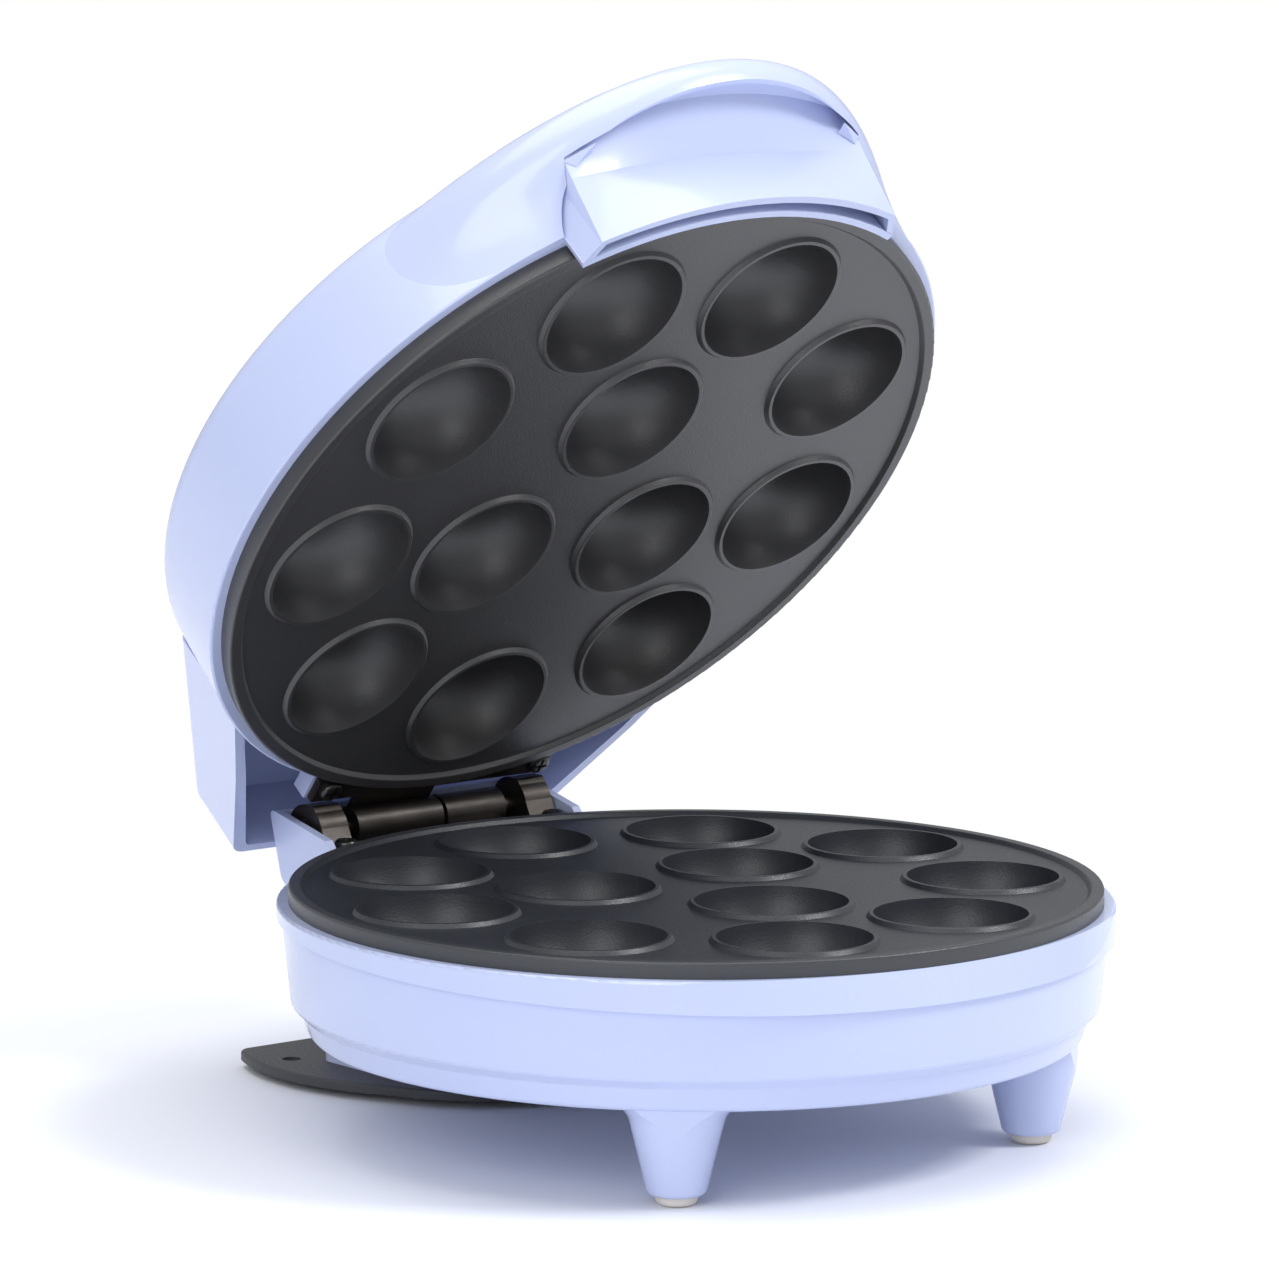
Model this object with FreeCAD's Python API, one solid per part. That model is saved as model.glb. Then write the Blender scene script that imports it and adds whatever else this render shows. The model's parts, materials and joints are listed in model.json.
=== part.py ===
import FreeCAD, Part
import math
import os

# Ball-shaped donut maker: a round tabletop appliance with two non-stick plates, each
# with twelve half-ball pockets, in a plastic base and a plastic lid that share a hinge.
#
# The design frame has +Z up, the front (handle side) towards -Y, its origin on the axis
# of the round plates and z = 0 at the parting plane, where the two closed plates meet.
# Lid pieces are drawn with the lid closed, and opened to the rest angle when written.
# Written files stand on z = 0, with the origin under the middle of the machine.
# All sizes are in millimetres and degrees.

Vec = FreeCAD.Vector

# ---------------------------------------------------------------- driving dimensions
parting_height = 63.1          # table to the parting plane
running_gap = 0.15             # from the parting plane to each plate's highest rim
wall = 2.5                     # plastic wall thickness

# Round plates and their half-ball pockets
plate_radius = 102.0
plate_face_drop = 1.25         # flat cooking face, below the parting plane
plate_rim_depth = 4.3          # underside of the lower plate's rim, below the parting plane
lid_rim_height = 4.9           # underside of the lid's rim, above the parting plane
bead_width = 3.2               # raised bead round the edge of a plate
pocket_radius = 19.2
pocket_wall = 2.5
pocket_collar = 1.7            # raised ring round a pocket
inner_ring_radius = 29.6       # pitch radius of the inner pockets
inner_ring_count = 3
outer_ring_radius = plate_radius - 29.0  # pitch radius of the outer pockets
outer_ring_count = 9
outer_ring_start = 20.0        # angle of the first outer pocket from the front
ledge_radius = plate_radius - 3.5  # hole in the housings that the plates' locating ring enters
ring_clearance = 0.2
ring_width = 2.5
ring_depth = 4.0

# Base housing
rim_radius = plate_radius + 3.0
wall_radius = plate_radius + 1.6  # wall just under the rim band
step_radius = plate_radius - 0.5  # wall just above the lower step
foot_ring_radius = plate_radius - 4.5  # wall below the lower step
step_height = 30.5             # lower step, below the parting plane
base_depth = 38.0              # flat underside, below the parting plane
band_middle_drop = 9.6         # lower edge of the rim band at the sides
band_tilt_drop = 3.6           # how much lower it is at the front
ledge_thickness = 3.0
band_bottom_depth = 25.0       # the band's blank, before the tilted plane cuts it
band_least_drop = 5.6          # and the least it is, towards the rear
scoop_depth = 14.0             # front scoop that leaves room for the handle skirt
scoop_top_radius = plate_radius + 11.8  # its surface is a leaning cone: radius and centre at the rim,
scoop_top_y = 11.5
scoop_low_radius = plate_radius + 9.0  # and at its lower end
scoop_low_y = 6.3

# Front legs and feet
leg_pitch_radius = plate_radius - 17.1
leg_angle = 42.1
leg_flare_radius = 14.6        # where a leg flares into the underside
leg_neck_radius = 11.9         # just under the flare
leg_neck_drop = 41.1           # neck, below the parting plane
leg_outer_reach = plate_radius - 6.0  # a leg's outer side stays inside the wall
leg_tip_radius = 7.2
leg_tip_height = 2.6           # leg tip above the table
foot_radius = 5.3
stem_radius = 2.4
stem_length = 3.0

# Rear column and cord-wrap plate
column_half_width = 37.5
column_rear_y = plate_radius + 6.0
column_front_y = plate_radius - 38.0
column_corner = 5.0
wrap_top_height = 4.6          # top of the cord-wrap plate above the table
wrap_thickness = 2.5
wrap_rear_y = plate_radius + 28.5
wrap_rear_half_width = 46.0
wrap_side_half_width = 53.0
wrap_side_y = plate_radius - 2.0
wrap_front_half_width = 44.0
wrap_front_y = plate_radius - 30.0
wrap_nose_y = plate_radius - 62.0
wrap_corner = 4.0
wrap_foot_radius = 6.0
gland_radius = 5.5
gland_bore_radius = 3.4
gland_height = 15.5            # cord gland axis above the table

# Hinge
hinge_y = plate_radius + 11.3
pin_radius = 2.5
pin_clearance = 0.05
knuckle_radius = 5.3
knuckle_half_length = 24.0
knuckle_split_x = 4.2          # where the lid's knuckle ends and the base's begins
knuckle_gap = 0.6              # from the split to each knuckle
lug_inner_x = 29.0
lug_outer_x = 37.5
lug_radius = 7.3
strap_half_width = 38.0
strap_front_y = plate_radius - 4.2
strap_rear_y = plate_radius + 2.8
strap_thickness = 2.2
hinge_screw_x = 33.8
hinge_screw_y = plate_radius - 1.4
strap_plate_gap = 0.5          # from a plate's edge to the straps beside it
cheek_outer_x = 41.5
cheek_inner_x = 39.0
cheek_rear_y = plate_radius + 21.4  # upper rear corner of the hinge box
cheek_top_z = 5.4
trough_radius = 7.8            # inside of the hinge box
lid_rest_angle = 52.34         # the lid at rest, opened from closed

# Lid housing
lid_rim_radius = rim_radius
lid_top_radius = plate_radius + 0.6
lid_shoulder_height = 37.2
lid_shoulder_round = 6.0
lid_crown_height = 40.5

# Hinge hood at the rear of the lid
hood_front_half_width = 0.74 * plate_radius
hood_front_y = 0.696 * plate_radius
hood_rear_half_width = 50.0
hood_rear_y = plate_radius + 24.8
hood_corner = 5.0
hood_low_height = 5.6
hood_rear_low_height = 8.0
hood_top_front_height = 36.6
hood_top_rear_height = 29.5
hood_edge_round = 4.0

# Handle visor at the front of the lid. Its section is a row of (radius beyond the lid's rim,
# height) points.
# It changes with the angle from the front: none of it shows at the root angle.
visor_root_angle = 56.9
visor_dome_section = [(-0.8, 4.9), (-1.3, 10.0), (-1.8, 16.0), (-2.3, 22.0), (-2.7, 27.0),
                      (-3.1, 30.5), (-4.1, 33.9), (-6.3, 36.0), (-10.0, 36.9), (-17.0, 37.2)]
visor_front_section = [(2.0, 4.9), (7.0, 10.0), (13.5, 16.0), (20.2, 21.6), (21.4, 26.0),
                       (20.4, 29.3), (17.0, 31.5), (8.0, 34.3), (-4.0, 36.7), (-17.0, 37.2)]
lip_wall = 1.2                 # the visor's lower lip is thinner than the rest
arch_height = 22.0             # lower edge of the lip, and half its arched outline to one side
arch_side = [(49.6, 3.0), (49.2, 9.0), (46.8, 14.6), (41.0, 18.4), (31.0, 20.7), (16.0, 21.7)]
groove_height = 25.5           # roof of the finger groove behind the lip
roof_thickness = 2.0

# Handle insert: a skirt with a finger slope above it
skirt_low_height = -4.0
skirt_low_radius = plate_radius + 7.9
skirt_shelf_height = 14.5
skirt_shelf_front_y = -plate_radius - 5.4
skirt_shelf_sag = 3.8          # how much further back the shelf edge is at its ends
slope_top_front_y = -plate_radius - 15.2
slope_top_sag = 10.5
skirt_half_width = 46.6
skirt_end_inner_x = 50.0
skirt_end_slope_y = 3.0 - plate_radius
skirt_inner_radius = lid_rim_radius - 1.8
skirt_rear_y = 17.0 - plate_radius
skirt_wall = 2.0

# Heating parts
element_ring_radius = (inner_ring_radius + outer_ring_radius) / 2
element_tube_radius = 3.25
element_depth = 14.0           # axis of the heating tube, from the parting plane
element_gap_angle = 12.0
rib_width = 2.2
pan_depth = 24.8
pan_sheet = 0.8
pan_flat_radius = plate_radius - 29.0
pan_rim_radius = plate_radius - 22.5
pan_rim_depth = 22.5
pan_post_radius = 3.4
pan_screw_pitch = element_ring_radius
boss_pitch_radius = plate_radius - 15.0
boss_radius = 5.5
plate_boss_radius = 4.4
boss_meet_depth = 14.0
screw_shank_radius = 2.0
screw_clearance = 0.1
screw_head_radius = 3.6
small_shank_radius = 1.5
small_head_radius = 2.8
small_head_height = 1.6
lead_radius = 1.2
thermostat_radius = 8.5
lamp_x = 9.0
lamp_y = 40.0 - plate_radius
lamp_radius = 3.2
lamp_clearance = 0.1

# Places that only inner pieces share
thermostat_top_z = -17.0
fuse_angle = 80.0
fuse_start_radius = plate_radius - 41.0
fuse_end_radius = plate_radius - 19.0
fuse_radius = 2.0
fuse_z = -13.0
terminal_y = plate_radius - 36.0
cord_notch_x = 43.0
cord_notch_y = plate_radius + 10.0
lamp_board_low = pan_depth + pan_sheet + 2.2

# ---------------------------------------------------------------- derived values
plate_edge_inner = plate_radius - bead_width
base_floor_z = -base_depth
wrap_top_z = wrap_top_height - parting_height
wrap_bottom_z = wrap_top_z - wrap_thickness
leg_tip_z = leg_tip_height - parting_height
pan_top_z = -pan_depth
far = 400.0


# ---------------------------------------------------------------- shape helpers
def rounded_wire(points, lift):
    """Closed wire through (a, b, radius) corners. lift turns (a, b) into a 3-D point."""
    count = len(points)
    starts = []
    ends = []
    middles = []
    for i in range(count):
        here = Vec(points[i][0], points[i][1], 0)
        before = Vec(points[i - 1][0], points[i - 1][1], 0)
        after = Vec(points[(i + 1) % count][0], points[(i + 1) % count][1], 0)
        radius = points[i][2] if len(points[i]) > 2 else 0.0
        to_before = (before - here).normalize()
        to_after = (after - here).normalize()
        half_corner = to_before.getAngle(to_after) / 2
        reach = radius / math.tan(half_corner) if radius else 0.0
        starts.append(here + to_before * reach)
        ends.append(here + to_after * reach)
        if radius:
            inward = (to_before + to_after).normalize()
            centre = here + inward * (radius / math.sin(half_corner))
            middles.append(centre - inward * radius)
        else:
            middles.append(None)
    edges = []
    for i in range(count):
        if middles[i] is not None:
            corner = [lift(p.x, p.y) for p in (starts[i], middles[i], ends[i])]
            edges.append(Part.Arc(*corner).toShape())
        line_start = ends[i]
        line_end = starts[(i + 1) % count]
        if (line_end - line_start).Length > 1e-6:
            edges.append(Part.LineSegment(lift(line_start.x, line_start.y),
                                          lift(line_end.x, line_end.y)).toShape())
    return Part.Wire(edges)


def plan_prism(points, low, high):
    """Solid with a plan outline of (x, y, round) corners, from z = low to z = high."""
    wire = rounded_wire(points, lambda a, b: Vec(a, b, low))
    return Part.Face(wire).extrude(Vec(0, 0, high - low))


def side_prism(points, left, right):
    """Solid with a side outline of (y, z, round) corners, from x = left to x = right."""
    wire = rounded_wire(points, lambda a, b: Vec(left, a, b))
    return Part.Face(wire).extrude(Vec(right - left, 0, 0))


def spin(points, x=0.0, y=0.0):
    """Full turn about a vertical axis of an outline of (radius, z, round) corners."""
    wire = rounded_wire(points, lambda a, b: Vec(a, 0, b))
    solid = Part.Face(wire).revolve(Vec(0, 0, 0), Vec(0, 0, 1), 360)
    solid.translate(Vec(x, y, 0))
    return solid


def upright(radius, low, high, x=0.0, y=0.0):
    """Vertical cylinder."""
    return Part.makeCylinder(radius, high - low, Vec(x, y, low), Vec(0, 0, 1))


def along_x(radius, left, right, y, z):
    """Cylinder along X."""
    return Part.makeCylinder(radius, right - left, Vec(left, y, z), Vec(1, 0, 0))


def along_y(radius, near, rear, x, z):
    """Cylinder along Y."""
    return Part.makeCylinder(radius, rear - near, Vec(x, near, z), Vec(0, 1, 0))


def block(x0, x1, y0, y1, z0, z1):
    """Box between two corners."""
    return Part.makeBox(x1 - x0, y1 - y0, z1 - z0, Vec(x0, y0, z0))


def cone(low_radius, high_radius, low, high, x, y):
    """Upright cone frustum."""
    return Part.makeCone(low_radius, high_radius, high - low, Vec(x, y, low), Vec(0, 0, 1))


def from_front(angle, radius):
    """Point at an angle from the front, positive towards +X."""
    turn = math.radians(angle)
    return radius * math.sin(turn), -radius * math.cos(turn)


def turned(shape, angle):
    """Copy turned about the plates' axis, positive from the front towards +X."""
    copy = shape.copy()
    copy.rotate(Vec(0, 0, 0), Vec(0, 0, 1), angle)
    return copy


def flipped(shape):
    """Copy mirrored through the parting plane, for what the lid shares with the base."""
    return shape.mirror(Vec(0, 0, 0), Vec(0, 0, 1))


def joined(shapes):
    """One solid out of overlapping ones."""
    whole = shapes[0]
    for shape in shapes[1:]:
        whole = whole.fuse(shape)
    return whole.removeSplitter()


def tube(points, radius, bend):
    """Round tube along straight runs joined by tangent bends of one radius."""
    edges = []
    last = points[0]
    for i in range(1, len(points) - 1):
        to_before = (points[i - 1] - points[i]).normalize()
        to_after = (points[i + 1] - points[i]).normalize()
        half_corner = to_before.getAngle(to_after) / 2
        reach = bend / math.tan(half_corner)
        inward = (to_before + to_after).normalize()
        middle = points[i] + inward * (bend / math.sin(half_corner) - bend)
        start = points[i] + to_before * reach
        end = points[i] + to_after * reach
        edges.append(Part.LineSegment(last, start).toShape())
        edges.append(Part.Arc(start, middle, end).toShape())
        last = end
    edges.append(Part.LineSegment(last, points[-1]).toShape())
    ring = Part.Wire(Part.makeCircle(radius, points[0], points[1] - points[0]))
    return Part.Wire(edges).makePipeShell([ring], True, True)


# ---------------------------------------------------------------- cooking plates
def pocket_places():
    """Centres of the twelve pockets."""
    places = []
    for i in range(inner_ring_count):
        places.append(from_front(i * 360.0 / inner_ring_count, inner_ring_radius))
    for i in range(outer_ring_count):
        angle = outer_ring_start + i * 360.0 / outer_ring_count
        places.append(from_front(angle, outer_ring_radius))
    return places


def plate_boss_places():
    """Where screws pull the lower plate down, between outer pockets."""
    return [from_front(angle, boss_pitch_radius) for angle in (0.0, 120.0, -120.0)]


def cooking_plate(rim_depth):
    """Cast plate, face up: a disc with a rim bead, half-ball pockets and a locating ring."""
    face = -plate_face_drop
    top = -running_gap
    under = -rim_depth
    disc = spin([(0, face), (plate_edge_inner - 0.9, face), (plate_edge_inner, top, 0.4),
                 (plate_radius, top, 0.7), (plate_radius, under), (0, under)])
    ring_outer = ledge_radius - ring_clearance
    ring = spin([(ring_outer - ring_width, under + 1), (ring_outer, under + 1),
                 (ring_outer, under - ring_depth), (ring_outer - ring_width, under - ring_depth)])
    rib_outer = element_ring_radius + rib_width / 2
    rib_low = -element_depth + element_tube_radius
    rib = upright(rib_outer, rib_low, under + 1).cut(
        upright(rib_outer - rib_width, rib_low - 1, under + 2))
    solid = disc.fuse([ring, rib])
    below = block(-far, far, -far, far, -far, face)
    collars = []
    cups = []
    hollows = []
    for x, y in pocket_places():
        collar_top = pocket_radius + pocket_collar * 0.55
        collars.append(spin([(pocket_radius - 1, face - 0.5), (pocket_radius + pocket_collar, face - 0.5),
                             (pocket_radius + pocket_collar, face), (collar_top, top, 0.3),
                             (pocket_radius - 1, top)], x, y))
        cups.append(Part.makeSphere(pocket_radius + pocket_wall, Vec(x, y, 0)).common(below))
        hollows.append(Part.makeSphere(pocket_radius, Vec(x, y, 0)))
    solid = solid.fuse(cups + collars)
    return solid.cut(hollows).removeSplitter()


def lower_cooking_plate():
    """Lower plate with screw bosses, a thermostat seat and a seat for the thermal fuse."""
    plate = cooking_plate(plate_rim_depth)
    under = -plate_rim_depth + 0.5
    extras = [upright(plate_boss_radius, -boss_meet_depth, under, x, y) for x, y in plate_boss_places()]
    extras.append(upright(6.0, thermostat_top_z, under))
    fuse_seat = block(-1.6, 1.6, -fuse_end_radius, -fuse_start_radius, fuse_z + fuse_radius, under)
    extras.append(turned(fuse_seat, fuse_angle))
    plate = plate.fuse(extras)
    holes = []
    for x, y in plate_boss_places():
        holes.append(upright(screw_shank_radius + screw_clearance, -boss_meet_depth - 1, -6.5, x, y))
    return plate.cut(holes).removeSplitter()


def upper_cooking_plate():
    """Upper plate: the same casting turned over, with a deeper rim."""
    return flipped(cooking_plate(lid_rim_height))


def heating_element():
    """Tubular heater bent to an open ring, with both ends turned down to terminal pins."""
    sweep = 360.0 - 2 * element_gap_angle
    start = 180.0 + element_gap_angle
    section = Part.Face(Part.Wire(Part.makeCircle(
        element_tube_radius, Vec(0, -element_ring_radius, -element_depth), Vec(1, 0, 0))))
    ring = turned(section.revolve(Vec(0, 0, 0), Vec(0, 0, 1), sweep), start)
    pieces = [ring]
    for side in (-1, 1):
        x, y = from_front(180.0 - side * element_gap_angle, element_ring_radius)
        pieces.append(Part.makeSphere(element_tube_radius, Vec(x, y, -element_depth)))
        pieces.append(upright(element_tube_radius, -element_depth - 7, -element_depth, x, y))
        pieces.append(upright(small_shank_radius, pan_top_z - 6, -element_depth - 7, x, y))
    return joined(pieces)


def heat_reflector():
    """Shallow sheet pan between the heater and the housing."""
    pan = spin([(0, pan_top_z), (pan_flat_radius, pan_top_z), (pan_rim_radius, -pan_rim_depth),
                (pan_rim_radius + pan_sheet, -pan_rim_depth),
                (pan_flat_radius + pan_sheet * 0.8, pan_top_z - pan_sheet), (0, pan_top_z - pan_sheet)])
    holes = []
    for x, y in pan_screw_places():
        holes.append(upright(small_shank_radius + screw_clearance, -far, 0, x, y))
    for side in (-1, 1):
        x, y = from_front(180.0 - side * element_gap_angle, element_ring_radius)
        holes.append(upright(small_shank_radius + 1.5, -far, 0, x, y))
    return pan.cut(holes)


def pan_screw_places():
    """Three posts that carry a reflector pan."""
    return [from_front(angle, pan_screw_pitch) for angle in (0.0, 120.0, -120.0)]


def pan_screws():
    """Small screws down through the pan into its posts."""
    screws = []
    for x, y in pan_screw_places():
        head = upright(small_head_radius, pan_top_z, pan_top_z + small_head_height, x, y)
        shank = upright(small_shank_radius, pan_top_z - 8, pan_top_z, x, y)
        screws.append(head.fuse(shank).removeSplitter())
    return Part.makeCompound(screws)


def pan_posts(foot_z):
    """Posts from a housing floor up to the pan, bored for the small screws."""
    posts = []
    bores = []
    for x, y in pan_screw_places():
        posts.append(upright(pan_post_radius, foot_z, pan_top_z - pan_sheet, x, y))
        bores.append(upright(small_shank_radius, pan_top_z - 8, pan_top_z, x, y))
    return posts, bores


# ---------------------------------------------------------------- base
def base_outside():
    """Bowl of the base with its tilted rim band."""
    bowl = spin([(0, -plate_rim_depth), (wall_radius, -plate_rim_depth, 0.6),
                 (wall_radius, -band_middle_drop),
                 (step_radius, -step_height + 1.2, 1.5), (foot_ring_radius + 1.4, -step_height - 1.2, 1.0),
                 (foot_ring_radius - 0.8, -base_depth, 2.4), (0, -base_depth)])
    band = spin([(rim_radius - 8, -plate_rim_depth), (rim_radius, -plate_rim_depth, 0.8),
                 (rim_radius, -band_bottom_depth), (rim_radius - 8, -band_bottom_depth)])
    upper = block(-far, far, -far, far, 0, far)
    upper.rotate(Vec(0, 0, 0), Vec(1, 0, 0), math.degrees(math.atan2(band_tilt_drop, rim_radius)))
    upper.translate(Vec(0, 0, -band_middle_drop))
    upper = upper.fuse(block(-far, far, -far, far, -band_least_drop, far))
    return bowl.fuse(band.common(upper))


def base_inside():
    """Hollow of the bowl under the ledge that carries the plate."""
    ceiling = -plate_rim_depth - ledge_thickness
    floor = -base_depth + wall
    return spin([(0, ceiling), (wall_radius - wall, ceiling), (wall_radius - wall, -band_middle_drop),
                 (step_radius - wall, -step_height), (foot_ring_radius - wall, -step_height - wall),
                 (foot_ring_radius - wall - 1, floor), (0, floor)])


def front_scoop():
    """Lens-shaped cut at the front of the rim, which clears the skirt of the lid's handle."""
    top_z = -plate_rim_depth
    low = Part.Wire(Part.makeCircle(scoop_low_radius, Vec(0, scoop_low_y, -scoop_depth)))
    top = Part.Wire(Part.makeCircle(scoop_top_radius, Vec(0, scoop_top_y, top_z)))
    kept = Part.makeLoft([low, top], True, True)
    front = block(-90, 90, -140, -60, -scoop_depth, top_z)
    over = block(-90, 90, -140, -60, top_z, top_z + 5)
    return front.cut(kept).fuse(over.cut(upright(rim_radius - 3, top_z - 1, top_z + 6)))


def column_outline(inset):
    """Plan outline of the rear column, moved in by inset."""
    half = column_half_width - inset
    rear = column_rear_y - inset
    near = column_front_y + inset
    corner = max(column_corner - inset, 0.5)
    return [(-half, near, corner), (half, near, corner), (half, rear, corner), (-half, rear, corner)]


def hinge_box():
    """Side cheeks and rounded trough at the rear of the base, as (outside, hollow)."""
    rim = -plate_rim_depth
    front = plate_radius - 10.0
    outline = [(front, -26.0), (front, rim), (front + 4.0, rim), (front + 7.5, 0.2),
               (cheek_rear_y, cheek_top_z, 1.2), (cheek_rear_y - 5.0, -12.0, 3.0),
               (cheek_rear_y - 11.4, -18.0)]
    outside = side_prism(outline, -cheek_outer_x, cheek_outer_x)
    shelf_end = hinge_y - math.sqrt(trough_radius ** 2 - plate_rim_depth ** 2)
    shelf = block(-cheek_inner_x, cheek_inner_x, front - 2, shelf_end + 1, rim, 30)
    trough = along_x(trough_radius, -cheek_inner_x, cheek_inner_x, hinge_y, 0)
    above = block(-cheek_inner_x, cheek_inner_x, shelf_end, hinge_y + trough_radius, 0, 30)
    return outside, shelf.fuse([trough, above])


def leg_places():
    """Centres of the two front legs."""
    return [from_front(side * leg_angle, leg_pitch_radius) for side in (-1, 1)]


def base_housing():
    """One moulding: bowl, legs, rear column, hinge box, screw bosses and pan posts."""
    ceiling = -plate_rim_depth
    outside = base_outside()
    box_outside, box_hollow = hinge_box()
    column_top = -plate_rim_depth - 12.0
    column = plan_prism(column_outline(0), wrap_top_z, column_top)
    legs = []
    leg_hollows = []
    for x, y in leg_places():
        leg = spin([(0, leg_tip_z), (leg_tip_radius, leg_tip_z, 1.6),
                    (leg_neck_radius, -leg_neck_drop, 6.0), (leg_flare_radius, base_floor_z + 0.5),
                    (leg_flare_radius, base_floor_z + 1.5), (0, base_floor_z + 1.5)], x, y)
        legs.append(leg.common(upright(leg_outer_reach, leg_tip_z - 1, base_floor_z + 2)))
        leg_hollows.append(cone(leg_tip_radius - wall, leg_neck_radius - wall,
                                leg_tip_z + stem_length, base_floor_z + wall + 0.1, x, y))
        leg_hollows.append(upright(stem_radius, leg_tip_z - 1, leg_tip_z + stem_length + 1, x, y))
    solid = outside.fuse(legs + [column, box_outside])
    column_hollow = plan_prism(column_outline(wall), wrap_top_z - 1, base_floor_z + wall + 1)
    opening = upright(ledge_radius, -plate_rim_depth - ledge_thickness - 1, ceiling + 1)
    hollows = [base_inside(), opening, column_hollow, box_hollow, front_scoop()] + leg_hollows
    solid = solid.cut(hollows)
    posts, bores = pan_posts(base_floor_z + wall - 0.5)
    bosses = []
    for x, y in plate_boss_places():
        bosses.append(upright(boss_radius, base_floor_z + 0.5, -boss_meet_depth, x, y))
    solid = solid.fuse(posts + bosses + wrap_bosses())
    for x, y in plate_boss_places():
        seat = -boss_meet_depth - 3
        bores.append(upright(screw_head_radius + 0.3, base_floor_z - 1, seat, x, y))
        bores.append(upright(screw_shank_radius + screw_clearance, seat - 1, seat + 4, x, y))
    for x, y in wrap_screw_places():
        bores.append(upright(small_shank_radius, wrap_top_z - 1, wrap_top_z + 9, x, y))
    for side in (-1, 1):
        bores.append(upright(small_shank_radius, ceiling - 8, 0, side * hinge_screw_x, hinge_screw_y))
    bores.append(along_y(gland_radius, column_rear_y - wall - 1, column_rear_y + 1, 0,
                         gland_height - parting_height))
    return solid.cut(bores).removeSplitter()


def wrap_screw_places():
    """Screws that hold the cord-wrap plate under the column."""
    half = column_half_width - wall - 4.0
    return [(side * half, y) for side in (-1, 1) for y in (column_front_y + 9, column_rear_y - 9)]


def wrap_bosses():
    """Bosses inside the column for the cord-wrap plate's screws."""
    return [upright(4.5, wrap_top_z, base_floor_z + wall + 0.5, x, y) for x, y in wrap_screw_places()]


def cord_wrap_plate():
    """Flat plate under the rear column. The cord winds between it and the base."""
    def lift(x, y):
        return Vec(x, y, wrap_bottom_z)

    corners = [lift(side * wrap_rear_half_width, wrap_rear_y) for side in (-1, 1)]
    fronts = [lift(side * wrap_front_half_width, wrap_front_y) for side in (-1, 1)]
    sides = [lift(side * wrap_side_half_width, wrap_side_y) for side in (-1, 1)]
    edges = [Part.Arc(fronts[0], lift(0, wrap_nose_y), fronts[1]).toShape(),
             Part.Arc(fronts[1], sides[1], corners[1]).toShape(),
             Part.LineSegment(corners[1], corners[0]).toShape(),
             Part.Arc(corners[0], sides[0], fronts[0]).toShape()]
    plate = Part.Face(Part.Wire(edges)).extrude(Vec(0, 0, wrap_thickness))
    rear = []
    for edge in plate.Edges:
        box = edge.BoundBox
        if box.YMin > wrap_rear_y - 0.01 and box.ZMax - box.ZMin > wrap_thickness - 0.01:
            rear.append(edge)
    plate = plate.makeFillet(wrap_corner, rear)
    top = [edge for edge in plate.Edges if edge.BoundBox.ZMin > wrap_top_z - 0.01]
    plate = plate.makeFillet(0.8, top)
    holes = []
    for x, y in wrap_screw_places():
        holes.append(upright(small_shank_radius + screw_clearance, wrap_bottom_z - 1, wrap_top_z + 1, x, y))
    for side in (-1, 1):
        holes.append(upright(2.4, wrap_top_z - 1.2, wrap_top_z + 1, side * cord_notch_x, cord_notch_y))
    return plate.cut(holes)


def wrap_plate_screws():
    """Four small screws up through the cord-wrap plate."""
    screws = []
    for x, y in wrap_screw_places():
        head = upright(small_head_radius, wrap_bottom_z - small_head_height, wrap_bottom_z, x, y)
        shank = upright(small_shank_radius, wrap_bottom_z, wrap_top_z + 7, x, y)
        screws.append(head.fuse(shank).removeSplitter())
    return Part.makeCompound(screws)


def front_feet():
    """Rubber foot buttons in the tips of the legs."""
    feet = []
    for x, y in leg_places():
        button = Part.makeCylinder(foot_radius, leg_tip_height, Vec(x, y, -parting_height))
        low = [edge for edge in button.Edges if edge.BoundBox.ZMax < -parting_height + 0.01]
        button = button.makeFillet(2.0, low)
        stem = upright(stem_radius, leg_tip_z, leg_tip_z + stem_length, x, y)
        feet.append(button.fuse(stem).removeSplitter())
    return Part.makeCompound(feet)


def rear_feet():
    """Rubber pads under the cord-wrap plate."""
    pads = []
    for side in (-1, 1):
        pads.append(upright(wrap_foot_radius, -parting_height, wrap_bottom_z, side * 38.0, plate_radius + 12))
    return Part.makeCompound(pads)


def cord_gland():
    """Bush in the rear of the column that the cord would pass through."""
    axis_z = gland_height - parting_height
    outer = along_y(gland_radius, column_rear_y - wall, column_rear_y, 0, axis_z)
    flange = along_y(gland_radius + 1.6, column_rear_y, column_rear_y + 1.8, 0, axis_z)
    inner = along_y(gland_radius + 1.2, column_rear_y - wall - 1.6, column_rear_y - wall, 0, axis_z)
    bore = along_y(gland_bore_radius, column_rear_y - 10, column_rear_y + 10, 0, axis_z)
    return outer.fuse([flange, inner]).cut(bore).removeSplitter()


def lower_plate_screws():
    """Screws up through the bosses of the base into the lower plate."""
    screws = []
    for x, y in plate_boss_places():
        head = upright(screw_head_radius, -boss_meet_depth - 5.6, -boss_meet_depth - 3, x, y)
        shank = upright(screw_shank_radius, -boss_meet_depth - 3, -7.0, x, y)
        screws.append(head.fuse(shank).removeSplitter())
    return Part.makeCompound(screws)


def thermostat():
    """Bimetal thermostat under the middle of the lower plate, with two terminal tabs."""
    body = upright(thermostat_radius, thermostat_top_z - 6.5, thermostat_top_z)
    tab_z = thermostat_top_z - 4.2
    tabs = [block(side * 9.5 - 3.0, side * 9.5 + 3.0, -2.4, 2.4, tab_z, tab_z + 0.8) for side in (-1, 1)]
    return body.fuse(tabs).removeSplitter()


def thermal_fuse():
    """One-shot fuse in its sleeve, held against the lower plate."""
    sleeve = along_y(fuse_radius, -fuse_end_radius, -fuse_start_radius, 0, fuse_z)
    return turned(sleeve, fuse_angle)


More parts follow.
